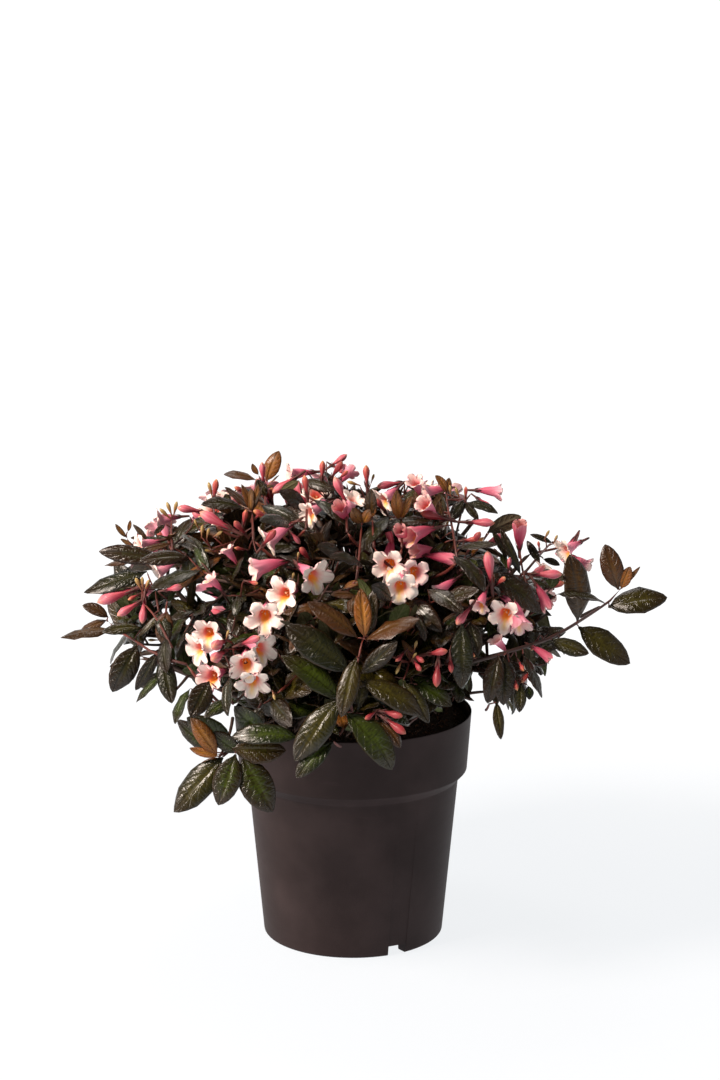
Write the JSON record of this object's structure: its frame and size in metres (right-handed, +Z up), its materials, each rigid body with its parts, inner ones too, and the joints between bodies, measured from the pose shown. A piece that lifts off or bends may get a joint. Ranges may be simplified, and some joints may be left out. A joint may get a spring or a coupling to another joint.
{
  "type": "weigela shrub in a nursery pot",
  "caption": "Dwarf dark-leaved weigela in flower, a low mounded shrub of short stems, leaf pairs and funnel blooms, grown in a plain plastic nursery pot.",
  "frame": {"origin": "middle of the pot's flat underside", "axes": "+Z up out of the pot; -Y is the side the plant is usually looked at from, with +X to its right, where the longest shoot reaches out"},
  "size_m": [0.4861, 0.402, 0.3884],
  "materials": {
    "pot": "matt dark taupe moulded plastic, lightly scuffed",
    "soil": "dark crumbly moist peat",
    "wood": "purple-brown young bark, lightly ridged",
    "foliage": "glossy bronze-green leaves with pale pink flowers"
  },
  "bodies": {
    "root": {"pot": "pot", "soil": "soil", "foot": "wood", "bough_low_left": "wood", "bough_left": "wood", "bough_front_left": "wood", "bough_upper_left": "wood", "bough_upper_front_left": "wood", "bough_front": "wood", "bough_upper_front_right": "wood", "bough_front_right": "wood", "bough_right": "wood", "bough_far_right": "wood", "bough_top_right": "wood", "bough_back_right": "wood", "bough_back": "wood", "bough_upper_back": "wood", "bough_back_left": "wood", "bough_left_back": "wood", "mass_low_left_whorl": "foliage", "mass_left_front": "foliage", "mass_left_tip": "foliage", "mass_left_shoulder": "foliage", "mass_front_left_blooms": "foliage", "mass_front_left_skirt": "foliage", "mass_upper_left_blooms": "foliage", "mass_top_left": "foliage", "mass_upper_front_left": "foliage", "mass_top_front": "foliage", "mass_centre_shoot": "foliage", "mass_front_skirt": "foliage", "mass_upper_front_right": "foliage", "mass_upper_right": "foliage", "mass_front_right": "foliage", "mass_right_skirt": "foliage", "mass_right_blooms": "foliage", "mass_right_side": "foliage", "mass_long_right_shoot": "foliage", "mass_right_shoulder": "foliage", "mass_top_right": "foliage", "mass_upper_back_right": "foliage", "mass_back_right_skirt": "foliage", "mass_back_right": "foliage", "mass_back_skirt": "foliage", "mass_back_blooms": "foliage", "mass_upper_back": "foliage", "mass_top_back": "foliage", "mass_back_left_skirt": "foliage", "mass_back_left": "foliage", "mass_left_back_skirt": "foliage", "mass_upper_back_left": "foliage"}
  },
  "joints": []
}
